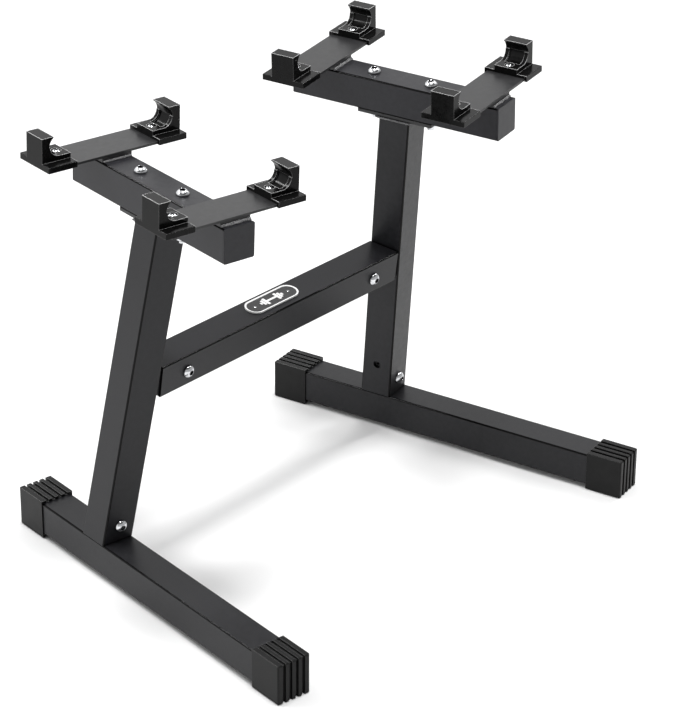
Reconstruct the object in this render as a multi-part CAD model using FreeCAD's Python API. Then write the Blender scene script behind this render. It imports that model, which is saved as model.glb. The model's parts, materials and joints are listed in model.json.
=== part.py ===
import FreeCAD, Part
import math
import os

from FreeCAD import Placement, Rotation, Vector

# Floor stand for two adjustable dumbbells, in millimetres.
# X runs along the crossbeam, the open side faces -Y, Z is up, and the origin is on the floor
# midway between the two side frames. The right side frame is drawn once and mirrored.

# Overall layout
side_spacing = 513.0
splay_angle = 9.6
base_length = 488.0
head_top_height = 483.5
crossbeam_height = 244.0

# Square steel tube, shared by bases, posts, heads and crossbeam
tube_side = 40.0
tube_wall = 2.0
tube_corner = 2.0
sleeve_gap = 0.5
stub_wall = 2.5

# Base end caps
cap_length = 46.0
cap_end_wall = 4.0
cap_side_wall = 1.5
cap_top_wall = 3.5
cap_sole = 5.5
cap_fit = 0.2
cap_rib_count = 5
cap_groove_width = 3.8
cap_groove_depth = 2.8
cap_edge_round = 2.0

# Posts
post_setback = 97.0
lean_inward = 7.1
lean_forward = 7.1
post_stub_length = 70.0
post_bolt_rise = 23.4
lock_screw_rise = 46.4
lock_hole_diameter = 10.0

# Head tubes and their mounting plates
head_length = 275.0
head_roll = 2.0
head_end_thickness = 2.0
mount_plate_length = 99.0
mount_plate_thickness = 4.0
head_bolt_spacing = 76.0

# Cross plates that carry the cradle clips
cross_plate_length = 175.4
cross_plate_width = 48.8
cross_plate_thickness = 3.0
cross_plate_corner = 2.0
cross_plate_spacing = 211.0
riser_height = 4.9
riser_width = 39.0

# Cradle clips
clip_length = 36.9
clip_wall = 3.2
clip_roof = 3.5
clip_lip = 0.4
clip_fit = 0.2
clip_block_width = 29.6
clip_pad_rise = 5.6
clip_post_depth = 15.0
clip_post_rise = 23.1
saddle_radius = 11.5
saddle_tip_height = 2.5
saddle_rail_width = 5.0
saddle_channel_depth = 2.0
saddle_ledge = 0.8
clip_screw_inset = 27.9
clip_counterbore = 11.0
clip_counterbore_depth = 2.6
clip_edge_round = 0.8

# Crossbeam
beam_end_gap = 2.0
beam_stub_length = 65.0
beam_bolt_inset = 41.6
beam_bolt_drop = 1.0

# Badge on top of the crossbeam
badge_length = 80.0
badge_width = 25.0
badge_thickness = 2.0
badge_rim = 2.2
badge_recess = 0.7
badge_setback = 1.7
badge_rivet_spacing = 56.0
rivet_diameter = 2.0
rivet_head_diameter = 3.2
rivet_head_height = 0.6
rivet_head_rim = 0.1

# Fasteners: head is a diameter, rise the head's height and rim the height of its upright edge
frame_bolt = {"thread": 8.0, "length": 16.0, "head": 15.0, "rise": 6.5, "rim": 1.8,
              "socket": 6.0, "socket_depth": 3.8}
head_bolt = {"thread": 8.0, "length": 55.0, "head": 15.0, "rise": 6.5, "rim": 1.8,
             "socket": 6.0, "socket_depth": 3.8}
clip_screw = {"thread": 5.0, "length": 16.0, "head": 9.5, "rise": 3.6, "rim": 1.2,
              "slot_width": 1.6, "slot_span": 5.0, "socket_depth": 2.0}
lock_screw = {"thread": 8.0, "length": 9.0, "socket": 4.0, "socket_depth": 4.0, "recess": 3.0}
frame_nut = {"flats": 13.0, "height": 6.5}
head_nut = {"flats": 13.0, "height": 6.5}
clip_nut = {"flats": 8.0, "height": 4.0}
nut_chamfer = 0.5
head_washer = {"diameter": 14.5, "thickness": 1.2}
hole_clearance = 0.5
thread_fit = 0.02

# Weld beads; the bulge is the place of the bead's middle, as a share of its leg
post_weld_leg = 2.8
post_weld_toe = 0.3
riser_weld_leg = 2.8
riser_weld_inset = 0.5
weld_bulge = 0.6

# Drawing allowances: a cutter runs this far past a face, a tube is drawn this much too long
# and trimmed by a block of this half size, and an edge is found to within this distance
past = 1.0
trim_margin = 40.0
trim_block = 900.0
near_enough = 0.1

# Values that follow from the sizes above
half_tube = tube_side / 2
stub_side = tube_side - 2 * (tube_wall + sleeve_gap)
base_top = cap_sole + tube_side
cap_width = tube_side + 2 * cap_side_wall
cross_plate_top = riser_height + cross_plate_thickness
clip_outer = cross_plate_length / 2 + clip_fit + clip_wall
clip_inner = clip_outer - clip_length
clip_width = cross_plate_width + 2 * (clip_fit + clip_wall)
flange_top = cross_plate_top + clip_roof
pad_top = flange_top + clip_pad_rise
clip_top = pad_top + clip_post_rise
saddle_height = pad_top + saddle_radius
saddle_lip = clip_outer - clip_post_depth
saddle_reach = math.sqrt(saddle_radius ** 2 - (clip_post_rise - saddle_radius - saddle_tip_height) ** 2)
saddle_axis = saddle_lip - saddle_reach
clip_screw_place = clip_outer - clip_screw_inset
badge_field = badge_thickness - badge_recess

AXIS_X = Vector(1, 0, 0)
AXIS_Y = Vector(0, 1, 0)
AXIS_Z = Vector(0, 0, 1)
NO_TURN = Rotation()
FACING_FRONT = Rotation(AXIS_X, 90)
FACING_INWARD = Rotation(AXIS_Y, -90)
FACING_DOWN = Rotation(AXIS_X, 180)
ALONG_X = Rotation(AXIS_Y, 90)


def at(x=0.0, y=0.0, z=0.0, turn=NO_TURN):
    return Placement(Vector(x, y, z), turn)


def placed(shape, placement):
    copy = shape.copy()
    copy.Placement = placement * copy.Placement
    return copy


def box(x_range, y_range, z_range):
    size = [high - low for low, high in (x_range, y_range, z_range)]
    return Part.makeBox(*size, Vector(x_range[0], y_range[0], z_range[0]))


def cylinder(radius, bottom, top, x=0.0, y=0.0):
    return Part.makeCylinder(radius, top - bottom, Vector(x, y, bottom))


def rounded_bar(side_x, side_y, corner, bottom, top):
    bar = box((-side_x / 2, side_x / 2), (-side_y / 2, side_y / 2), (bottom, top))
    upright = [edge for edge in bar.Edges if abs(edge.tangentAt(edge.FirstParameter).z) > near_enough]
    return bar.makeFillet(corner, upright)


def square_tube(side, wall, bottom, top):
    outer = rounded_bar(side, side, tube_corner, bottom, top)
    bore = side - 2 * wall
    return outer.cut(rounded_bar(bore, bore, tube_corner / 2, bottom - past, top + past))


def hex_prism(flats, bottom, top):
    corner = flats / math.sqrt(3)
    points = [Vector(corner * math.cos(math.radians(a)), corner * math.sin(math.radians(a)), bottom)
              for a in range(0, 361, 60)]
    return Part.Face(Part.makePolygon(points)).extrude(Vector(0, 0, top - bottom))


def nut(size, thread):
    """Hexagon nut standing on its z = 0 face, with a chamfered top."""
    height = size["height"]
    top_radius = size["flats"] / 2 - nut_chamfer
    body = hex_prism(size["flats"], 0, height)
    taper = Part.makeCone(top_radius + height, top_radius, height)
    bore = cylinder(thread / 2 + thread_fit, -past, height + past)
    return body.common(taper).cut(bore)


def domed_head(head_diameter, rise, rim):
    """Low dome on the z = 0 plane: a rim of the full diameter under a spherical cap."""
    half = head_diameter / 2
    cap = rise - rim
    radius = (half ** 2 + cap ** 2) / (2 * cap)
    ball = Part.makeSphere(radius, Vector(0, 0, rise - radius))
    return ball.common(cylinder(half, 0, rise + past))


def socket_bolt(size):
    """Button-head bolt: head above z = 0, shank below it, hexagon socket in the head."""
    head = domed_head(size["head"], size["rise"], size["rim"])
    shank = cylinder(size["thread"] / 2, -size["length"], 0)
    socket = hex_prism(size["socket"], size["rise"] - size["socket_depth"], size["rise"] + past)
    return head.fuse(shank).removeSplitter().cut(socket)


def cross_screw(size):
    """Pan-head screw with a cross recess: head above z = 0, shank below it."""
    head = domed_head(size["head"], size["rise"], size["rim"])
    shank = cylinder(size["thread"] / 2, -size["length"], 0)
    across = (-size["slot_width"] / 2, size["slot_width"] / 2)
    along = (-size["slot_span"] / 2, size["slot_span"] / 2)
    deep = (size["rise"] - size["socket_depth"], size["rise"] + past)
    recess = box(along, across, deep).fuse(box(across, along, deep))
    return head.fuse(shank).removeSplitter().cut(recess)


# Frames of the right-hand side: base, post, head and crossbeam
base_frame = at(side_spacing / 2, 0, 0, Rotation(AXIS_Z, splay_angle))
post_turn = Rotation(AXIS_Y, -lean_inward) * Rotation(AXIS_X, lean_forward)
post_frame = base_frame * at(0, post_setback, base_top, post_turn)
post_axis = post_frame.Rotation.multVec(AXIS_Z)
head_turn = Rotation(AXIS_Y, -head_roll)


def point_on_post(local_x, local_y, height):
    """Point at the given height on the line through (local_x, local_y) along the post."""
    start = post_frame.multVec(Vector(local_x, local_y, 0))
    return start + post_axis * ((height - start.z) / post_axis.z)


def find_head_frame():
    """The head tube is centred on the post, its mounting plate lying on the post's top."""
    turn = base_frame.Rotation * head_turn
    down = turn.multVec(Vector(0, 0, -tube_side - mount_plate_thickness))
    joint = point_on_post(0, 0, head_top_height + down.z)
    return Placement(joint - down, turn)


def find_beam_frame():
    """The crossbeam is square to the posts and its front is in line with their inner front edges."""
    tilt = math.atan2(-post_axis.y, post_axis.z)
    edge = point_on_post(-half_tube, -half_tube, crossbeam_height)
    setback = edge.y + half_tube / math.cos(tilt)
    return at(0, setback, crossbeam_height, Rotation(AXIS_X, math.degrees(tilt)))


head_frame = find_head_frame()
beam_frame = find_beam_frame()
post_length = (head_frame.Base - post_frame.Base).Length


def bolt_place(rise):
    """On the post's front face, at this distance up the post."""
    return post_frame * at(0, -half_tube, rise, FACING_FRONT)


def lock_place(rise):
    """On the post's inner face, at this distance up the post."""
    return post_frame * at(-half_tube, 0, rise, FACING_INWARD)


def beam_half_length():
    """At the beam's front face: the top corner stops this far from the post's inner face."""
    top = half_tube * math.cos(beam_frame.Rotation.Angle)
    corner = point_on_post(-half_tube, -half_tube, crossbeam_height + top)
    return corner.x - beam_end_gap


beam_half = beam_half_length()
beam_bolt_x = beam_half - beam_bolt_inset


def beam_bolt_place():
    return beam_frame * at(beam_bolt_x, -half_tube, -beam_bolt_drop, FACING_FRONT)


def clearance_hole(fastener):
    return fastener["thread"] + 2 * hole_clearance


def drilled(shape, place, diameter):
    """A hole along the fastener's axis through the near wall only."""
    return shape.cut(placed(cylinder(diameter / 2, -half_tube, half_tube), place))


def base_tube():
    half = base_length / 2 - cap_end_wall
    tube = square_tube(tube_side, tube_wall, -half, half)
    return placed(tube, base_frame * at(0, 0, cap_sole + half_tube, FACING_FRONT))


def above_base():
    wide = (-trim_block, trim_block)
    return placed(box(wide, wide, (base_top, trim_block)), base_frame)


def under_head():
    wide = (-trim_block, trim_block)
    return placed(box(wide, wide, (-trim_block, -tube_side - mount_plate_thickness)), head_frame)


def post():
    tube = placed(square_tube(tube_side, tube_wall, -trim_margin, post_length + trim_margin), post_frame)
    tube = tube.common(above_base()).common(under_head())
    tube = drilled(tube, bolt_place(post_bolt_rise), clearance_hole(frame_bolt))
    return drilled(tube, lock_place(lock_screw_rise), lock_hole_diameter)


def post_envelope():
    bar = rounded_bar(tube_side, tube_side, tube_corner, -trim_margin, post_length + trim_margin)
    return placed(bar, post_frame)


def base_stub():
    """Short inner tube welded to the base, over which the post slides."""
    tube = placed(square_tube(stub_side, stub_wall, -trim_margin, post_stub_length), post_frame)
    tube = tube.common(above_base())
    tube = drilled(tube, bolt_place(post_bolt_rise), clearance_hole(frame_bolt))
    return drilled(tube, lock_place(lock_screw_rise), lock_hole_diameter)


def nut_depth():
    """From the outer face of the tube to the inner face of the stub's wall."""
    return tube_wall + sleeve_gap + stub_wall


def weld_nut(place, size, thread):
    return placed(nut(size, thread), place * at(0, 0, -nut_depth(), FACING_DOWN))


def lock_set_screw():
    """Headless screw, sunk in the post's inner face and threaded into a nut in the stub."""
    top = -lock_screw["recess"]
    rod = cylinder(lock_screw["thread"] / 2, top - lock_screw["length"], top)
    socket = hex_prism(lock_screw["socket"], top - lock_screw["socket_depth"], top + past)
    return placed(rod.cut(socket), lock_place(lock_screw_rise))


def mount_plate():
    level = -tube_side - mount_plate_thickness
    bar = rounded_bar(tube_side, mount_plate_length, tube_corner, level, -tube_side)
    for end in (-1, 1):
        radius = clearance_hole(head_bolt) / 2
        bar = bar.cut(cylinder(radius, level - past, past - tube_side, 0, end * head_bolt_spacing / 2))
    return placed(bar, head_frame)


def head_tube():
    half = head_length / 2 - head_end_thickness
    tube = square_tube(tube_side, tube_wall, -half, half)
    tube = placed(tube, at(0, 0, -half_tube, FACING_FRONT))
    for end in (-1, 1):
        radius = clearance_hole(head_bolt) / 2
        tube = tube.cut(cylinder(radius, -tube_side - past, past, 0, end * head_bolt_spacing / 2))
    return placed(tube, head_frame)


def head_end_plates():
    plates = []
    for end in (-1, 1):
        plate = rounded_bar(tube_side, tube_side, tube_corner, 0, head_end_thickness)
        inner = head_length / 2 - head_end_thickness
        turn = Rotation(AXIS_X, -90 * end)
        plates.append(placed(plate, head_frame * at(0, end * inner, -half_tube, turn)))
    return Part.makeCompound(plates)


def head_bolts():
    bolts = [placed(socket_bolt(head_bolt), head_frame * at(0, end * head_bolt_spacing / 2, 0))
             for end in (-1, 1)]
    return Part.makeCompound(bolts)


def head_nuts():
    """A washer and a nut on each head bolt, under the mounting plate."""
    pieces = []
    level = -tube_side - mount_plate_thickness
    for end in (-1, 1):
        place = head_frame * at(0, end * head_bolt_spacing / 2, level, FACING_DOWN)
        washer = cylinder(head_washer["diameter"] / 2, 0, head_washer["thickness"])
        radius = head_bolt["thread"] / 2 + hole_clearance / 2
        washer = washer.cut(cylinder(radius, -past, head_washer["thickness"] + past))
        pieces.append(placed(washer, place))
        pieces.append(placed(nut(head_nut, head_bolt["thread"]), place * at(0, 0, head_washer["thickness"])))
    return Part.makeCompound(pieces)


def cross_plate(end):
    """Flat bar across the head tube, at its front (-1) or back (1)."""
    plate = rounded_bar(cross_plate_length, cross_plate_width, cross_plate_corner,
                        riser_height, cross_plate_top)
    for side in (-1, 1):
        radius = clearance_hole(clip_screw) / 2
        plate = plate.cut(cylinder(radius, 0, cross_plate_top + past, side * clip_screw_place, 0))
    return placed(plate, head_frame * at(0, end * cross_plate_spacing / 2, 0))


def cross_plate_risers():
    risers = []
    for end in (-1, 1):
        bar = box((-riser_width / 2, riser_width / 2),
                  (-cross_plate_width / 2, cross_plate_width / 2), (0, riser_height))
        risers.append(placed(bar, head_frame * at(0, end * cross_plate_spacing / 2, 0)))
    return Part.makeCompound(risers)


def fillet_bead(length, leg):
    """Weld bead along X in the corner between the z = 0 plane and the y = 0 plane, on its -y side."""
    bulge = leg * weld_bulge
    start = Vector(-length / 2, -leg, 0)
    middle = Vector(-length / 2, -bulge, bulge)
    stop = Vector(-length / 2, 0, leg)
    corner = Vector(-length / 2, 0, 0)
    edges = [Part.Arc(start, middle, stop).toShape(), Part.LineSegment(stop, corner).toShape(),
             Part.LineSegment(corner, start).toShape()]
    return Part.Face(Part.Wire(edges)).extrude(Vector(length, 0, 0))


def riser_welds():
    """Beads along the front and back of both risers, on top of the head tube."""
    beads = []
    for end in (-1, 1):
        for face in (0, 180):
            place = at(0, end * cross_plate_spacing / 2, 0, Rotation(AXIS_Z, face))
            edge = at(0, -cross_plate_width / 2, 0)
            bead = fillet_bead(riser_width - 2 * riser_weld_inset, riser_weld_leg)
            beads.append(placed(bead, head_frame * place * edge))
    return beads


def outline_on_plane(half, level):
    """Square of this half side, following the post, where it meets a level of the head frame."""
    normal = head_frame.Rotation.multVec(AXIS_Z)
    origin = head_frame.multVec(Vector(0, 0, level))
    points = []
    for x, y in ((-half, -half), (half, -half), (half, half), (-half, half), (-half, -half)):
        start = post_frame.multVec(Vector(x, y, 0))
        points.append(start + post_axis * ((origin - start).dot(normal) / post_axis.dot(normal)))
    return Part.makePolygon(points)


def post_weld():
    """Bead all round the top of the post, under the mounting plate."""
    level = -tube_side - mount_plate_thickness
    bulge = post_weld_leg * weld_bulge
    skirt = Part.makeLoft([outline_on_plane(half_tube + post_weld_leg, level),
                           outline_on_plane(half_tube + bulge, level - bulge),
                           outline_on_plane(half_tube + post_weld_toe, level - post_weld_leg)], True, True)
    return skirt.cut(post_envelope())


def frame_welds():
    return Part.makeCompound([post_weld()] + riser_welds())


def end_cap(end):
    """Ribbed sleeve over one end of the base tube: front (-1) or back (1), its sole on the floor."""
    tall = base_top + cap_top_wall
    body = box((-cap_width / 2, cap_width / 2), (-cap_length, 0), (0, tall))
    rounded = [edge for edge in body.Edges
               if edge.CenterOfMass.z < near_enough or edge.CenterOfMass.y > -near_enough]
    body = body.makeFillet(cap_edge_round, rounded)
    bore = half_tube + cap_fit
    body = body.cut(box((-bore, bore), (-cap_length - past, -cap_end_wall),
                        (cap_sole - cap_fit, base_top + cap_fit)))
    pitch = cap_width / cap_rib_count
    whole_length = (-cap_length - past, past)
    for index in range(1, cap_rib_count):
        middle = index * pitch - cap_width / 2
        groove = (middle - cap_groove_width / 2, middle + cap_groove_width / 2)
        body = body.cut(box(groove, whole_length, (tall - cap_groove_depth, tall + past)))
        body = body.cut(box(groove, (-cap_groove_depth, past), (-past, tall + past)))
        body = body.cut(box(groove, whole_length, (-past, cap_groove_depth)))
    turn = NO_TURN if end > 0 else Rotation(AXIS_Z, 180)
    return placed(body, base_frame * at(0, end * base_length / 2, 0, turn))


def saddle_cut():
    """What the arched saddle takes out of the clip's block: open inward and along Y."""
    wide = clip_block_width + 2 * past
    above = clip_top + past
    lying = at(saddle_axis, -wide / 2, saddle_height, Rotation(AXIS_X, -90))
    cut = placed(cylinder(saddle_radius, 0, wide), lying)
    upper = placed(cylinder(saddle_radius + saddle_ledge, 0, wide), lying)
    upper = upper.common(box((saddle_axis, clip_outer), (-wide, wide), (saddle_height, above)))
    cut = cut.fuse(upper)
    cut = cut.fuse(box((clip_inner - past, saddle_axis), (-wide / 2, wide / 2), (pad_top, above)))
    cut = cut.fuse(box((saddle_axis, saddle_lip), (-wide / 2, wide / 2), (saddle_height, above)))
    half = clip_block_width / 2 - saddle_rail_width
    channel = placed(cylinder(saddle_radius + saddle_channel_depth, 0, 2 * half),
                     at(saddle_axis, -half, saddle_height, Rotation(AXIS_X, -90)))
    channel = channel.common(box((saddle_axis, clip_outer), (-wide, wide), (0, saddle_height)))
    return cut.fuse(channel)


def clip_body():
    """Moulded clip on the +X end of a cross plate, in the plate's own frame."""
    half = clip_width / 2
    bottom = riser_height - clip_lip
    flange = box((clip_inner, clip_outer), (-half, half), (bottom, flange_top))
    upper = [edge for edge in flange.Edges
             if edge.CenterOfMass.z > bottom + near_enough and edge.CenterOfMass.x > clip_inner + near_enough]
    flange = flange.makeFillet(clip_edge_round, upper)
    block_half = clip_block_width / 2
    block = box((clip_inner, clip_outer), (-block_half, block_half), (flange_top - past, clip_top))
    block = block.cut(saddle_cut())
    body = flange.fuse(block).removeSplitter()
    pocket = cross_plate_width / 2 + clip_fit
    body = body.cut(box((clip_inner - past, clip_outer - clip_wall), (-pocket, pocket),
                        (bottom - past, cross_plate_top)))
    body = body.cut(cylinder(clearance_hole(clip_screw) / 2, 0, clip_top, clip_screw_place, 0))
    seat = pad_top - clip_counterbore_depth
    return body.cut(cylinder(clip_counterbore / 2, seat, pad_top + saddle_radius, clip_screw_place, 0))


def clip_frame(end, side):
    """Cross plate at the front (-1) or back (1), and its inner (-1) or outer (1) end."""
    turn = NO_TURN if side > 0 else Rotation(AXIS_Z, 180)
    return head_frame * at(0, end * cross_plate_spacing / 2, 0, turn)


def clip_screws():
    screws = []
    for end in (-1, 1):
        for side in (-1, 1):
            seat = at(clip_screw_place, 0, pad_top - clip_counterbore_depth)
            screws.append(placed(cross_screw(clip_screw), clip_frame(end, side) * seat))
    return Part.makeCompound(screws)


def clip_nuts():
    nuts = []
    for end in (-1, 1):
        for side in (-1, 1):
            seat = at(clip_screw_place, 0, riser_height, FACING_DOWN)
            nuts.append(placed(nut(clip_nut, clip_screw["thread"]), clip_frame(end, side) * seat))
    return Part.makeCompound(nuts)


def crossbeam():
    """Tube between the posts, mitred in plan to stay in line with their inner faces."""
    tube = square_tube(tube_side, tube_wall, -beam_half - trim_margin, beam_half + trim_margin)
    tube = placed(tube, at(0, 0, 0, ALONG_X))
    wide = (-trim_block, trim_block)
    beyond = box((0, trim_block), wide, wide)
    rivet_hole = cylinder(rivet_diameter / 2 + thread_fit, -half_tube, past)
    for side, facing in ((1, splay_angle), (-1, 180 - splay_angle)):
        tube = tube.cut(placed(beyond, at(side * beam_half, -half_tube, 0, Rotation(AXIS_Z, facing))))
        bolt = at(side * beam_bolt_x, -half_tube, -beam_bolt_drop, FACING_FRONT)
        tube = drilled(tube, bolt, clearance_hole(frame_bolt))
        rivet = at(side * badge_rivet_spacing / 2, badge_setback, half_tube)
        tube = tube.cut(placed(rivet_hole, rivet))
    return placed(tube, beam_frame)


def beam_stub():
    """Short inner tube welded to the post's inner face, over which the crossbeam slides."""
    face = point_on_post(-half_tube, 0, crossbeam_height)
    tube = placed(square_tube(stub_side, stub_wall, face.x - beam_stub_length, face.x + half_tube),
                  at(0, 0, 0, ALONG_X))
    wide = (-trim_block, trim_block)
    beyond_face = placed(box((-half_tube, trim_block), wide, wide), post_frame)
    tube = placed(tube, beam_frame).cut(beyond_face)
    return drilled(tube, beam_bolt_place(), clearance_hole(frame_bolt))


def badge_outline(length, width, bottom, top):
    half = width / 2
    straight = length / 2 - half
    bar = box((-straight, straight), (-half, half), (bottom, top))
    bar = bar.fuse(cylinder(half, bottom, top, -straight, 0))
    return bar.fuse(cylinder(half, bottom, top, straight, 0)).removeSplitter()


def badge_plate():
    """Pill-shaped plate whose flat field is sunk inside a raised rim."""
    plate = badge_outline(badge_length, badge_width, 0, badge_thickness)
    field = badge_outline(badge_length - 2 * badge_rim, badge_width - 2 * badge_rim,
                          badge_field, badge_thickness + past)
    plate = plate.cut(field)
    for side in (-1, 1):
        x = side * badge_rivet_spacing / 2
        hole = cylinder(rivet_diameter / 2 + thread_fit, -past, badge_thickness + past, x, 0)
        plate = plate.cut(hole)
    return placed(plate, beam_frame * at(0, badge_setback, half_tube))


def badge_rivets():
    rivets = []
    for side in (-1, 1):
        head = domed_head(rivet_head_diameter, rivet_head_height, rivet_head_rim)
        shank = cylinder(rivet_diameter / 2, -badge_field - tube_wall, 0)
        place = at(side * badge_rivet_spacing / 2, badge_setback, half_tube + badge_field)
        rivets.append(placed(head.fuse(shank).removeSplitter(), beam_frame * place))
    return Part.makeCompound(rivets)


def mirrored(shape):
    return shape.mirror(Vector(0, 0, 0), AXIS_X)


def write(name, shape):
    solids = shape.Solids
    for solid in solids:
        if not solid.isValid() or solid.Volume <= 0:
            raise ValueError("bad solid in " + name)
    shape = solids[0] if len(solids) == 1 else Part.makeCompound(solids)
    shape.exportStep("parts/" + name + ".step")
    print(name, len(solids), round(sum(solid.Volume for solid in solids), 1))


def both_sides(name, shape):
    write("right_" + name, shape)
    write("left_" + name, mirrored(shape))


def pair(name, shape):
    """The same small piece on both sides, kept in one node."""
    write(name, Part.makeCompound([shape, mirrored(shape)]))


os.makedirs("parts", exist_ok=True)

both_sides("base_tube", base_tube())
both_sides("base_stub", base_stub())
both_sides("post", post())
both_sides("mount_plate", mount_plate())
both_sides("head_tube", head_tube())
both_sides("head_end_plates", head_end_plates())
both_sides("head_bolts", head_bolts())
both_sides("head_nuts", head_nuts())
both_sides("cross_plate_risers", cross_plate_risers())
both_sides("frame_welds", frame_welds())
both_sides("clip_screws", clip_screws())
both_sides("clip_nuts", clip_nuts())
both_sides("crossbeam_stub", beam_stub())

for end_name, end in (("front", -1), ("back", 1)):
    both_sides(end_name + "_cross_plate", cross_plate(end))
    both_sides(end_name + "_end_cap", end_cap(end))
    for side_name, side in (("inner", -1), ("outer", 1)):
        clip = placed(clip_body(), clip_frame(end, side))
        both_sides(end_name + "_" + side_name + "_clip", clip)

post_bolt = placed(socket_bolt(frame_bolt), bolt_place(post_bolt_rise))
pair("post_bolts", post_bolt)
pair("post_weld_nuts", weld_nut(bolt_place(post_bolt_rise), frame_nut, frame_bolt["thread"]))
pair("lock_screws", lock_set_screw())
pair("lock_nuts", weld_nut(lock_place(lock_screw_rise), frame_nut, lock_screw["thread"]))
pair("crossbeam_bolts", placed(socket_bolt(frame_bolt), beam_bolt_place()))
pair("crossbeam_weld_nuts", weld_nut(beam_bolt_place(), frame_nut, frame_bolt["thread"]))

write("crossbeam", crossbeam())
write("badge_plate", badge_plate())
write("badge_rivets", badge_rivets())
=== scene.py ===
import json
import math

import bpy
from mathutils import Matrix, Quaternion, Vector


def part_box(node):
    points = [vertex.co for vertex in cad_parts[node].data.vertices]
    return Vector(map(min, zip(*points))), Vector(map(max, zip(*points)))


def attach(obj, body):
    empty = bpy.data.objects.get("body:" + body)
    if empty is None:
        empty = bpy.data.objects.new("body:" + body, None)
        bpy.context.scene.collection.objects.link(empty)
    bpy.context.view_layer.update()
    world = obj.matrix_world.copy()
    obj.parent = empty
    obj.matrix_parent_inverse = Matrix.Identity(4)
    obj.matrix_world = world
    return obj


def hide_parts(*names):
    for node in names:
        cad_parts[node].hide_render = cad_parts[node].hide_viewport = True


# Looks of a floor stand for two adjustable dumbbells: black powder-coated tube, moulded caps
# and cradle clips, plated bolts. Lengths are in metres.

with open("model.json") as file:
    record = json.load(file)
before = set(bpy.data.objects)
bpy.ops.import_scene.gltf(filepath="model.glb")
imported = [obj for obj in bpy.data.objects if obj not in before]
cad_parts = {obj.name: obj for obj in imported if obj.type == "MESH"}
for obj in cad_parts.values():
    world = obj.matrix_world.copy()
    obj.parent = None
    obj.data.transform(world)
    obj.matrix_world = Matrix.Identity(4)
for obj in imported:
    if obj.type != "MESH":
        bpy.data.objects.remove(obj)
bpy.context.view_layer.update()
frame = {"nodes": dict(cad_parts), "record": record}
nodes = frame["nodes"]
bpy.ops.object.select_all(action="DESELECT")
print("frame loaded:", len(nodes), "nodes")


# Small helpers for building materials

noiseRange = 0.3, 0.7
noiseDetail = {"grain": 2.0, "mottle": 3.0, "floor": 2.0}


def feed(tree, value, socket):
    # the value may be another node's output, a number or a colour
    if hasattr(value, "is_output"):
        tree.links.new(value, socket)
    elif socket.type == "RGBA":
        socket.default_value = (*value, 1)
    else:
        socket.default_value = value


def newMaterial(name):
    material = bpy.data.materials.new(name)
    material.use_nodes = True
    tree = material.node_tree
    tree.nodes.clear()
    surface = tree.nodes.new("ShaderNodeBsdfPrincipled")
    output = tree.nodes.new("ShaderNodeOutputMaterial")
    tree.links.new(surface.outputs["BSDF"], output.inputs["Surface"])
    place = tree.nodes.new("ShaderNodeTexCoord")
    return material, tree, surface, place.outputs["Object"]


def newGroup(name, inputs, outputs):
    group = bpy.data.node_groups.new(name, "ShaderNodeTree")
    for way, sockets in (("INPUT", inputs), ("OUTPUT", outputs)):
        for label, kind in sockets.items():
            group.interface.new_socket(label, in_out=way, socket_type="NodeSocket" + kind)
    return group, group.nodes.new("NodeGroupInput"), group.nodes.new("NodeGroupOutput")


def addNoise(tree, vector, scale, detail):
    noise = tree.nodes.new("ShaderNodeTexNoise")
    noise.inputs["Detail"].default_value = detail
    tree.links.new(vector, noise.inputs["Vector"])
    feed(tree, scale, noise.inputs["Scale"])
    return noise.outputs["Fac"]


def addSpan(tree, value, fromMin, fromMax, toMin, toMax, ends="LINEAR"):
    # stretches a value from one range to another
    span = tree.nodes.new("ShaderNodeMapRange")
    span.interpolation_type = ends
    tree.links.new(value, span.inputs["Value"])
    limits = {"From Min": fromMin, "From Max": fromMax, "To Min": toMin, "To Max": toMax}
    for label, limit in limits.items():
        feed(tree, limit, span.inputs[label])
    return span.outputs["Result"]


def spreadNoise(tree, noise, low, high):
    return addSpan(tree, noise, *noiseRange, low, high)


def multiply(tree, first, second):
    product = tree.nodes.new("ShaderNodeMath")
    product.operation = "MULTIPLY"
    tree.links.new(first, product.inputs[0])
    tree.links.new(second, product.inputs[1])
    return product.outputs["Value"]


def splitAxes(tree, vector):
    split = tree.nodes.new("ShaderNodeSeparateXYZ")
    tree.links.new(vector, split.inputs["Vector"])
    return split.outputs


def colourSocket(sockets, label):
    # a mix node has sockets of one name for numbers, vectors and colours
    return next(socket for socket in sockets if socket.name == label and socket.type == "RGBA")


def blendColours(tree, mask, first, second):
    mix = tree.nodes.new("ShaderNodeMix")
    mix.data_type = "RGBA"
    tree.links.new(mask, mix.inputs["Factor"])
    for label, colour in (("A", first), ("B", second)):
        feed(tree, colour, colourSocket(mix.inputs, label))
    return colourSocket(mix.outputs, "Result")


def addBump(tree, surface, height, depth, strength):
    bump = tree.nodes.new("ShaderNodeBump")
    bump.inputs["Distance"].default_value = depth
    bump.inputs["Strength"].default_value = strength
    tree.links.new(height, bump.inputs["Height"])
    tree.links.new(bump.outputs["Normal"], surface.inputs["Normal"])


def makeGrainGroup():
    # fine grain for the height, broad mottling for colour and roughness
    group, start, end = newGroup(
        "surfaceGrain",
        {"Vector": "Vector", "Grain Scale": "Float", "Mottle Scale": "Float", "Rough Low": "Float",
         "Rough High": "Float"},
        {"Height": "Float", "Mottle": "Float", "Roughness": "Float"})
    place = start.outputs["Vector"]
    grain = addNoise(group, place, start.outputs["Grain Scale"], noiseDetail["grain"])
    mottle = addNoise(group, place, start.outputs["Mottle Scale"], noiseDetail["mottle"])
    rough = spreadNoise(group, mottle, start.outputs["Rough Low"], start.outputs["Rough High"])
    group.links.new(grain, end.inputs["Height"])
    group.links.new(spreadNoise(group, mottle, 0, 1), end.inputs["Mottle"])
    group.links.new(rough, end.inputs["Roughness"])
    return group


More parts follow.
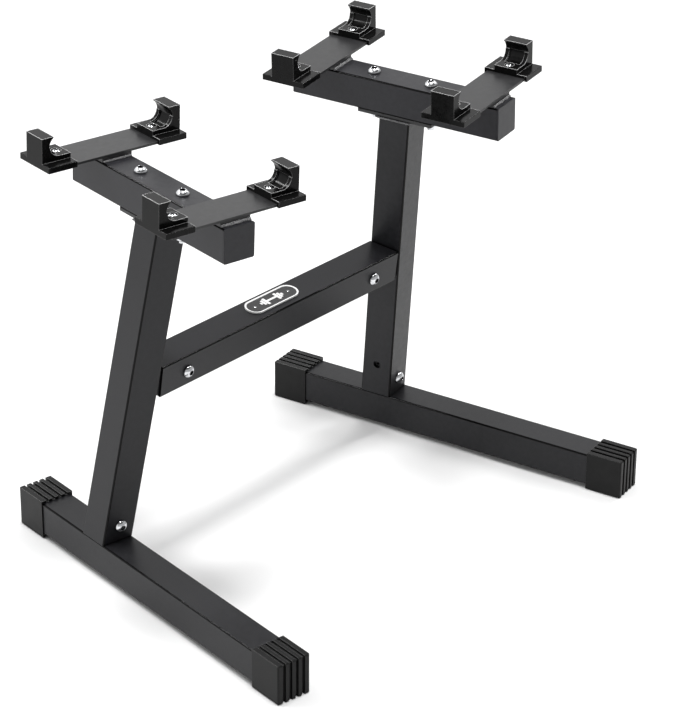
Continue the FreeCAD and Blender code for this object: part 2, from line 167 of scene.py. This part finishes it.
# settings of the painted highlight on edges
edgeRub = {"samples": 6, "flatMatch": 0.99, "edgeMatch": 0.84, "levelEdge": 0.1, "upwardEdge": 0.6,
           "leastHighlight": 0.12}
creviceShade = {"samples": 6, "open": 0.85, "shut": 0.3}


def makeEdgeGroup():
    # painted highlight: where the rounded normal leaves the true one, an edge is near and its colour
    # is painted bright, most of all on edges that look upward, as if lit from above
    group, start, end = newGroup("edgeRub", {"Radius": "Float"}, {"Mask": "Float"})
    rounded = group.nodes.new("ShaderNodeBevel")
    rounded.samples = edgeRub["samples"]
    group.links.new(start.outputs["Radius"], rounded.inputs["Radius"])
    true = group.nodes.new("ShaderNodeNewGeometry")
    match = group.nodes.new("ShaderNodeVectorMath")
    match.operation = "DOT_PRODUCT"
    group.links.new(rounded.outputs["Normal"], match.inputs[0])
    group.links.new(true.outputs["Normal"], match.inputs[1])
    near = addSpan(group, match.outputs["Value"], edgeRub["flatMatch"], edgeRub["edgeMatch"], 0, 1,
                   "SMOOTHSTEP")
    height = splitAxes(group, rounded.outputs["Normal"])["Z"]
    upward = addSpan(group, height, edgeRub["levelEdge"], edgeRub["upwardEdge"], edgeRub["leastHighlight"], 1)
    group.links.new(multiply(group, near, upward), end.inputs["Mask"])
    return group


def makeCreviceGroup():
    # painted shade: how shut in a spot is, so that sockets, grooves and inner corners are darkened
    group, start, end = newGroup("creviceShade", {"Reach": "Float"}, {"Mask": "Float"})
    around = group.nodes.new("ShaderNodeAmbientOcclusion")
    around.samples = creviceShade["samples"]
    group.links.new(start.outputs["Reach"], around.inputs["Distance"])
    mask = addSpan(group, around.outputs["AO"], creviceShade["open"], creviceShade["shut"], 0, 1)
    group.links.new(mask, end.inputs["Mask"])
    return group


grainGroup = makeGrainGroup()
edgeGroup = makeEdgeGroup()
creviceGroup = makeCreviceGroup()


def placeGroup(tree, group, values):
    node = tree.nodes.new("ShaderNodeGroup")
    node.node_tree = group
    for label, value in values.items():
        feed(tree, value, node.inputs[label])
    return node


def makeFinish(name, look):
    material, tree, surface, place = newMaterial(name)
    grain = placeGroup(tree, grainGroup, {
        "Vector": place, "Grain Scale": look["grainScale"], "Mottle Scale": look["mottleScale"],
        "Rough Low": look["rough"][0], "Rough High": look["rough"][1]})
    colour = blendColours(tree, grain.outputs["Mottle"], look["dark"], look["light"])
    rough = grain.outputs["Roughness"]
    # painted highlight: edges get a bright colour of their own
    if "edge" in look:
        highlightNode = placeGroup(tree, edgeGroup, {"Radius": look["edgeRadius"]})
        colour = blendColours(tree, highlightNode.outputs["Mask"], colour, look["edge"])
        rough = addSpan(tree, highlightNode.outputs["Mask"], 0, 1, rough, look["edgeRough"])
    # painted shade: crevices are darkened towards a near-black colour
    if "paintedShade" in look:
        shade = placeGroup(tree, creviceGroup, {"Reach": look["creviceReach"]})
        colour = blendColours(tree, shade.outputs["Mask"], colour, look["paintedShade"])
    tree.links.new(colour, surface.inputs["Base Color"])
    tree.links.new(rough, surface.inputs["Roughness"])
    addBump(tree, surface, grain.outputs["Height"], look["grainDepth"], look["bump"])
    surface.inputs["Metallic"].default_value = look.get("metallic", 0.0)
    surface.inputs["Specular IOR Level"].default_value = look.get("specular", 0.5)
    return material


# the edge colours are painted highlights, and the crevice colours are painted shade
finishes = {
    "powderCoat": {"dark": (0.0095, 0.0095, 0.011), "light": (0.0135, 0.0135, 0.0155),
                   "rough": (0.32, 0.42), "specular": 0.25, "paintedShade": (0.0005, 0.0005, 0.0005),
                   "creviceReach": 0.005, "grainScale": 1400, "mottleScale": 160,
                   "grainDepth": 0.0002, "bump": 0.25},
    # painted shade: this near-black colour stands in for the dark line along the tube corners
    "cornerPaintedShade": {"dark": (0.0005, 0.0005, 0.0005), "light": (0.001, 0.001, 0.001),
                   "rough": (0.08, 0.14), "specular": 0.14, "grainScale": 1400, "mottleScale": 160,
                   "grainDepth": 0.0001, "bump": 0.1},
    # painted light: a lighter copy of the powder coat, so the head tubes look more brightly lit
    "headCoatPaintedLight": {"dark": (0.013, 0.013, 0.0158), "light": (0.0185, 0.0185, 0.022),
                 "rough": (0.32, 0.42), "specular": 0.28, "paintedShade": (0.0005, 0.0005, 0.0005),
                 "creviceReach": 0.005, "grainScale": 1400, "mottleScale": 160,
                 "grainDepth": 0.0002, "bump": 0.3},
    # painted light: a lighter copy of the powder coat, so the plates look more brightly lit
    "plateCoatPaintedLight": {"dark": (0.021, 0.021, 0.022), "light": (0.029, 0.029, 0.03),
                  "rough": (0.32, 0.42), "specular": 0.36, "edge": (0.2, 0.2, 0.205),
                  "edgeRadius": 0.0006, "edgeRough": 0.2, "paintedShade": (0.002, 0.002, 0.002),
                  "creviceReach": 0.004, "grainScale": 1400, "mottleScale": 160,
                  "grainDepth": 0.0002, "bump": 0.25},
    # painted highlight: the bright mottle on the black bead stands in for glints
    "weldCoatPaintedGlints": {"dark": (0.015, 0.015, 0.016), "light": (0.16, 0.16, 0.165), "rough": (0.14, 0.5),
                 "specular": 0.7, "paintedShade": (0.002, 0.002, 0.002), "creviceReach": 0.003,
                 "grainScale": 1200, "mottleScale": 1000, "grainDepth": 0.0005, "bump": 0.9},
    "capPlastic": {"dark": (0.005, 0.005, 0.005), "light": (0.008, 0.008, 0.008),
                   "rough": (0.34, 0.44), "specular": 0.17, "edge": (0.24, 0.24, 0.24),
                   "edgeRadius": 0.0012, "edgeRough": 0.3, "paintedShade": (0.0005, 0.0005, 0.0005),
                   "creviceReach": 0.005, "grainScale": 2600, "mottleScale": 90,
                   "grainDepth": 0.0001, "bump": 0.2},
    "clipPlastic": {"dark": (0.003, 0.003, 0.003), "light": (0.005, 0.005, 0.005),
                    "rough": (0.14, 0.22), "specular": 0.11, "edge": (0.8, 0.8, 0.8),
                    "edgeRadius": 0.0011, "edgeRough": 0.15, "paintedShade": (0.0005, 0.0005, 0.0005),
                    "creviceReach": 0.006, "grainScale": 2200, "mottleScale": 140,
                    "grainDepth": 0.0001, "bump": 0.06},
    "brightZinc": {"dark": (0.62, 0.63, 0.65), "light": (0.78, 0.79, 0.81), "rough": (0.1, 0.18),
                   "paintedShade": (0.01, 0.01, 0.01), "creviceReach": 0.006, "grainScale": 1800,
                   "mottleScale": 500, "grainDepth": 0.0001, "bump": 0.1, "metallic": 1.0},
    "nutZinc": {"dark": (0.40, 0.40, 0.41), "light": (0.55, 0.55, 0.56), "rough": (0.3, 0.42),
                "grainScale": 1800, "mottleScale": 400, "grainDepth": 0.0001, "bump": 0.2,
                "metallic": 1.0},
    "blackOxide": {"dark": (0.015, 0.015, 0.016), "light": (0.03, 0.03, 0.031), "rough": (0.3, 0.4),
                   "grainScale": 1800, "mottleScale": 400, "grainDepth": 0.0001, "bump": 0.2,
                   "metallic": 0.6},
    "badgeBlack": {"dark": (0.02, 0.02, 0.021), "light": (0.03, 0.03, 0.031), "rough": (0.35, 0.42),
                   "grainScale": 2400, "mottleScale": 300, "grainDepth": 0.0001, "bump": 0.1},
    "whiteEnamel": {"dark": (0.74, 0.74, 0.74), "light": (0.8, 0.8, 0.8), "rough": (0.3, 0.36),
                    "grainScale": 2400, "mottleScale": 300, "grainDepth": 0.0001, "bump": 0.05},
}
made = {name: makeFinish(name, look) for name, look in finishes.items()}

finishOfEnding = (
    ("end_cap", "capPlastic"), ("_clip", "clipPlastic"), ("clip_screws", "brightZinc"),
    ("head_bolts", "brightZinc"), ("head_nuts", "brightZinc"), ("clip_nuts", "brightZinc"),
    ("post_bolts", "brightZinc"), ("crossbeam_bolts", "brightZinc"), ("badge_rivets", "brightZinc"),
    ("weld_nuts", "nutZinc"), ("lock_nuts", "nutZinc"), ("lock_screws", "blackOxide"),
    ("badge_plate", "badgeBlack"), ("frame_welds", "weldCoatPaintedGlints"), ("_cross_plate", "plateCoatPaintedLight"),
    ("mount_plate", "plateCoatPaintedLight"), ("cross_plate_risers", "plateCoatPaintedLight"), ("head_tube", "headCoatPaintedLight"),
    ("head_end_plates", "headCoatPaintedLight"),
)


def finishFor(name):
    return made[next((use for ending, use in finishOfEnding if name.endswith(ending)), "powderCoat")]


for name, node in nodes.items():
    node.data.materials.clear()
    node.data.materials.append(finishFor(name))
print("finishes on the frame's nodes:", len(made))


# Pieces made in place of the plain nodes

slotOf = {row["node"]: row["material_slot"] for row in frame["record"]["subparts"]}


def makeOnly(piece):
    bpy.ops.object.select_all(action="DESELECT")
    piece.select_set(True)
    bpy.context.view_layer.objects.active = piece


# angles are in degrees, and upright is the least upward part of the normal of a face that looks up
rounding = {"mergeGap": 0.000002, "flatAngle": 0.2, "edgeAngle": 38, "smoothAngle": 32, "segments": 3,
            "evenness": 100, "upright": 0.9}


def mergedCopy(nodeName, pieceName):
    # the node's mesh is loose triangles, so its copy is welded back into flat faces
    piece = bpy.data.objects.new(pieceName, nodes[nodeName].data.copy())
    bpy.context.scene.collection.objects.link(piece)
    makeOnly(piece)
    bpy.ops.mesh.customdata_custom_splitnormals_clear()
    bpy.ops.object.mode_set(mode="EDIT")
    bpy.ops.mesh.select_all(action="SELECT")
    bpy.ops.mesh.remove_doubles(threshold=rounding["mergeGap"])
    bpy.ops.mesh.dissolve_limited(angle_limit=math.radians(rounding["flatAngle"]))
    bpy.ops.object.mode_set(mode="OBJECT")
    return piece


def applyModifier(piece, kind, **settings):
    modifier = piece.modifiers.new(kind.lower(), kind)
    for label, value in settings.items():
        setattr(modifier, label, value)
    makeOnly(piece)
    bpy.ops.object.modifier_apply(modifier=modifier.name)


def finishPiece(piece, slot, *replaced):
    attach(piece, "root")
    if replaced:
        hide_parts(*replaced)


softEdge = {"end_cap": 0.0006, "_cross_plate": 0.0004, "mount_plate": 0.0004, "head_end_plates": 0.0005,
            "cross_plate_risers": 0.0004, "head_bolts": 0.00025, "post_bolts": 0.00025,
            "crossbeam_bolts": 0.00025, "clip_screws": 0.0002, "head_nuts": 0.0003, "clip_nuts": 0.0003}


def evenShading(piece):
    # flat faces stay flat in the light, and only the narrow rounded edges turn
    makeOnly(piece)
    bpy.ops.object.shade_smooth_by_angle(angle=math.radians(rounding["smoothAngle"]))
    applyModifier(piece, "WEIGHTED_NORMAL", weight=rounding["evenness"], keep_sharp=True)


def softenEdges(nodeName, width):
    piece = mergedCopy(nodeName, "soft_" + nodeName)
    applyModifier(piece, "BEVEL", width=width, segments=rounding["segments"], limit_method="ANGLE",
                  angle_limit=math.radians(rounding["edgeAngle"]))
    evenShading(piece)
    finishPiece(piece, slotOf[nodeName], nodeName)


tubeCorner = {"endings": ("base_tube", "_post", "head_tube", "crossbeam"), "alike": 0.995, "share": 0.02}


def shadeTubeCorners(nodeName):
    # the narrow rounded corners, which face no side of the tube, get a glossier coat whose near-black
    # colour is painted shade
    piece = mergedCopy(nodeName, "soft_" + nodeName)
    piece.data.materials.append(made["cornerPaintedShade"])
    faces = [(face, face.normal.copy(), face.area) for face in piece.data.polygons]
    whole = sum(area for face, normal, area in faces)
    for face, normal, area in faces:
        side = sum(other for _, way, other in faces if way.dot(normal) > tubeCorner["alike"])
        face.material_index = int(side < tubeCorner["share"] * whole)
    evenShading(piece)
    finishPiece(piece, slotOf[nodeName], nodeName)


softened = 0
for nodeName in sorted(nodes):
    width = next((size for ending, size in softEdge.items() if nodeName.endswith(ending)), None)
    if width:
        softenEdges(nodeName, width)
        softened += 1
    # tube corners get painted shade
    elif nodeName.endswith(tubeCorner["endings"]):
        shadeTubeCorners(nodeName)
        softened += 1
print("pieces with softened edges or polished corners:", softened)


# Weld beads: the plain fillets get the ripple of a hand-laid bead

bead = {"voxel": 0.0005, "ripple": 0.0009, "rippleSize": 0.0016, "lump": 0.0009, "lumpSize": 0.004,
        "middle": 0.6}


def addBeadTexture(kind, size):
    texture = bpy.data.textures.new("bead" + kind.title(), kind)
    texture.noise_scale = size
    return texture


rippleTexture = addBeadTexture("WOOD", bead["rippleSize"])
rippleTexture.wood_type = "BANDS"
lumpTexture = addBeadTexture("CLOUDS", bead["lumpSize"])

for side in ("left", "right"):
    welds = mergedCopy(side + "_frame_welds", side + "_weld_beads")
    applyModifier(welds, "REMESH", mode="VOXEL", voxel_size=bead["voxel"])
    for texture, strength in ((rippleTexture, bead["ripple"]), (lumpTexture, bead["lump"])):
        applyModifier(welds, "DISPLACE", texture=texture, strength=strength, mid_level=bead["middle"],
                      texture_coords="LOCAL")
    bpy.ops.object.shade_smooth()
    finishPiece(welds, "frame_steel", side + "_frame_welds")
print("weld beads rippled")


# Badge on the crossbeam: dark plate, white rim and a plain dumbbell sign

badge = {"length": 0.080, "width": 0.025, "height": 0.002, "field": 0.0013, "rim": 0.0022,
         "inlay": 0.0003, "ease": 0.00015, "easeSegments": 2, "facets": 64}
sign = {"handle": (0.0075, 0.0030), "plates": ((0.0036, 0.0130), (0.0034, 0.0096)),
        "stub": (0.0026, 0.0040), "rise": 0.0005, "gap": 0.0007, "round": 0.1, "segments": 4}


def addPill(length, width, low, high):
    # a round disc, pulled apart at its middle
    bpy.ops.mesh.primitive_cylinder_add(vertices=badge["facets"], radius=width / 2, depth=high - low,
                                        location=(0, 0, (low + high) / 2),
                                        rotation=(0, 0, math.pi / badge["facets"]))
    pill = bpy.context.object
    bpy.ops.object.transform_apply(location=True, rotation=True)
    for end in (-1, 1):
        bpy.ops.object.mode_set(mode="EDIT")
        bpy.ops.mesh.select_mode(type="VERT")
        bpy.ops.mesh.select_all(action="DESELECT")
        bpy.ops.object.mode_set(mode="OBJECT")
        for vertex in pill.data.vertices:
            vertex.select = vertex.co.x * end > 0
        bpy.ops.object.mode_set(mode="EDIT")
        bpy.ops.transform.translate(value=(end * (length - width) / 2, 0, 0))
        bpy.ops.object.mode_set(mode="OBJECT")
    return pill


def selectTopFaces(piece):
    makeOnly(piece)
    bpy.ops.object.mode_set(mode="EDIT")
    bpy.ops.mesh.select_mode(type="FACE")
    bpy.ops.mesh.select_all(action="DESELECT")
    bpy.ops.object.mode_set(mode="OBJECT")
    for face in piece.data.polygons:
        face.select = face.normal.z > rounding["upright"]
    bpy.ops.object.mode_set(mode="EDIT")


def joinPieces(name, pieces):
    makeOnly(pieces[0])
    for piece in pieces:
        piece.select_set(True)
    bpy.ops.object.join()
    pieces[0].name = name
    return pieces[0]


def facingUp(nodeName):
    # the direction of the node's broad upper face
    upper = [face for face in nodes[nodeName].data.polygons if face.normal.z > rounding["upright"]]
    return sum((face.normal * face.area for face in upper), Vector()).normalized()


badgeUp = facingUp("badge_plate")
plateLow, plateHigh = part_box("badge_plate")
badgeBase = (plateLow + plateHigh) / 2 - badgeUp * badge["height"] / 2


def placeOnBeam(piece):
    makeOnly(piece)
    piece.rotation_mode = "QUATERNION"
    piece.rotation_quaternion = Vector((0, 0, 1)).rotation_difference(badgeUp)
    piece.location = badgeBase
    bpy.ops.object.transform_apply(location=True, rotation=True, scale=True)


def addBadgeRim():
    # the pill's top is inset by the rim and sunk to the field, then its edges are eased
    rim = addPill(badge["length"], badge["width"], 0, badge["height"])
    selectTopFaces(rim)
    bpy.ops.mesh.inset(thickness=badge["rim"], depth=badge["field"] - badge["height"])
    bpy.ops.object.mode_set(mode="OBJECT")
    rim.name = "badge_rim"
    applyModifier(rim, "BEVEL", width=badge["ease"], segments=badge["easeSegments"],
                  limit_method="ANGLE")
    evenShading(rim)
    rim.data.materials.append(made["whiteEnamel"])
    placeOnBeam(rim)
    finishPiece(rim, "badge_metal", "badge_plate")


def addBadgeField():
    # a thin inlay that fills the sunk field from wall to wall
    inlay = badge["length"] - 2 * badge["rim"], badge["width"] - 2 * badge["rim"]
    field = addPill(*inlay, badge["field"], badge["field"] + badge["inlay"])
    selectTopFaces(field)
    bpy.ops.mesh.inset(thickness=badge["ease"], depth=-badge["inlay"] / 2)
    bpy.ops.object.mode_set(mode="OBJECT")
    field.name = "badge_field"
    field.data.materials.append(made["badgeBlack"])
    placeOnBeam(field)
    finishPiece(field, "badge_metal")


def addSignBar(width, depth, middle):
    # one upright plate or handle of the sign, with its corners rounded
    bpy.ops.mesh.primitive_cube_add(size=1, location=(middle, 0, badge["field"] + badge["inlay"]),
                                    scale=(width, depth, sign["rise"]))
    bar = bpy.context.object
    bpy.ops.object.transform_apply(location=True, scale=True)
    applyModifier(bar, "BEVEL", width=min(width, depth) * sign["round"], segments=sign["segments"],
                  limit_method="ANGLE")
    return bar


def addSign():
    # a plain dumbbell: a handle with plates that grow smaller towards its ends
    bars = [addSignBar(2 * sign["handle"][0], sign["handle"][1], 0)]
    for end in (-1, 1):
        place = sign["handle"][0]
        for width, depth in (*sign["plates"], sign["stub"]):
            bars.append(addSignBar(width, depth, end * (place + width / 2)))
            place += width + sign["gap"]
    mark = joinPieces("badge_sign", bars)
    mark.data.materials.append(made["whiteEnamel"])
    placeOnBeam(mark)
    finishPiece(mark, "badge_metal")


addBadgeRim()
addBadgeField()
addSign()
print("badge made")


# Studio: pale floor, white surround, soft lights

studio = {
    "floorSize": 30.0, "floorColour": (0.82, 0.82, 0.82), "mottleDepth": 0.985, "mottleScale": 2.0,
    "floorRough": 0.9, "floorShine": 0.0,
    "surround": {"low": 1.2, "high": 0.24, "from": 0.54, "to": 0.66, "front": 0.4, "turn": 0.3},
    "sun": {"height": 3.0, "lean": -0.08, "spread": 13, "strength": 2.0},
    "boxes": {
        "overheadBox": {"place": (0.0, 0.0, 3.1), "aim": (0, 0, 0), "size": (3.0, 3.0), "power": 20},
        "stripBox": {"place": (-0.7, 1.3, 1.9), "aim": (0, 0, 0.4), "size": (1.6, 0.1), "power": 22},
        "sideBox": {"place": (1.5, -0.3, 2.0), "aim": (0, 0, 0.3), "size": (0.12, 1.2), "power": 16},
    },
}


def addFloor():
    bpy.ops.mesh.primitive_plane_add(size=studio["floorSize"])
    floor = bpy.context.object
    floor.name = "studioFloor"
    material, tree, surface, place = newMaterial("paleFloor")
    mottle = spreadNoise(tree, addNoise(tree, place, studio["mottleScale"], noiseDetail["floor"]), 0, 1)
    pale = studio["floorColour"]
    colour = blendColours(tree, mottle, pale, [share * studio["mottleDepth"] for share in pale])
    tree.links.new(colour, surface.inputs["Base Color"])
    surface.inputs["Roughness"].default_value = studio["floorRough"]
    surface.inputs["Specular IOR Level"].default_value = studio["floorShine"]
    floor.data.materials.append(material)


def addSurround():
    # bright round the horizon, dimmer in front, and dim above, so that rounded edges show a dark line
    world = bpy.data.worlds.new("whiteSurround")
    world.use_nodes = True
    tree = world.node_tree
    surround = studio["surround"]
    way = splitAxes(tree, tree.nodes.new("ShaderNodeTexCoord").outputs["Generated"])
    fade = addSpan(tree, way["Z"], surround["from"], surround["to"], surround["low"], surround["high"])
    side = addSpan(tree, way["Y"], -surround["turn"], surround["turn"], surround["front"], 1)
    background = tree.nodes["Background"]
    background.inputs["Color"].default_value = (1, 1, 1, 1)
    tree.links.new(multiply(tree, fade, side), background.inputs["Strength"])
    bpy.context.scene.world = world


def addSoftbox(name, box):
    bpy.ops.object.light_add(type="AREA", location=box["place"])
    lamp = bpy.context.object
    lamp.name = name
    lamp.data.shape = "RECTANGLE"
    lamp.data.size, lamp.data.size_y = box["size"]
    lamp.data.energy = box["power"]
    lamp.rotation_mode = "QUATERNION"
    lamp.rotation_quaternion = (Vector(box["aim"]) - Vector(box["place"])).to_track_quat("-Z", "Y")


def addKeySun():
    # nearly overhead, wide enough to blur the crossbeam's shadow
    sun = studio["sun"]
    bpy.ops.object.light_add(type="SUN", location=(0, 0, sun["height"]))
    lamp = bpy.context.object
    lamp.name = "keySun"
    lamp.data.energy = sun["strength"]
    lamp.data.angle = math.radians(sun["spread"])
    lamp.rotation_mode = "QUATERNION"
    lamp.rotation_quaternion = Vector((0, -sun["lean"], -1)).to_track_quat("-Z", "Y")


addFloor()
addSurround()
addKeySun()
for name, box in studio["boxes"].items():
    addSoftbox(name, box)
print("studio ready")


# Camera

cameraView = {"place": (-2.2784, -2.0286, 1.7903), "azimuth": -48.91, "elevation": 27.43,
              "roll": 0.435, "lens": 149.86, "sensor": 36, "reach": 100}


def addCamera():
    bpy.ops.object.camera_add(location=cameraView["place"])
    camera = bpy.context.object
    around, above = math.radians(cameraView["azimuth"]), math.radians(cameraView["elevation"])
    ahead = Vector((-math.sin(around), math.cos(around), -math.tan(above)))
    camera.rotation_mode = "QUATERNION"
    turn = ahead.to_track_quat("-Z", "Y")
    camera.rotation_quaternion = turn @ Quaternion((0, 0, 1), math.radians(cameraView["roll"]))
    camera.data.lens = cameraView["lens"]
    camera.data.sensor_width = cameraView["sensor"]
    camera.data.clip_end = cameraView["reach"]
    bpy.context.scene.camera = camera


addCamera()
scene = bpy.context.scene
scene.view_settings.view_transform = "Standard"
scene.view_settings.look = "None"
print("camera set")
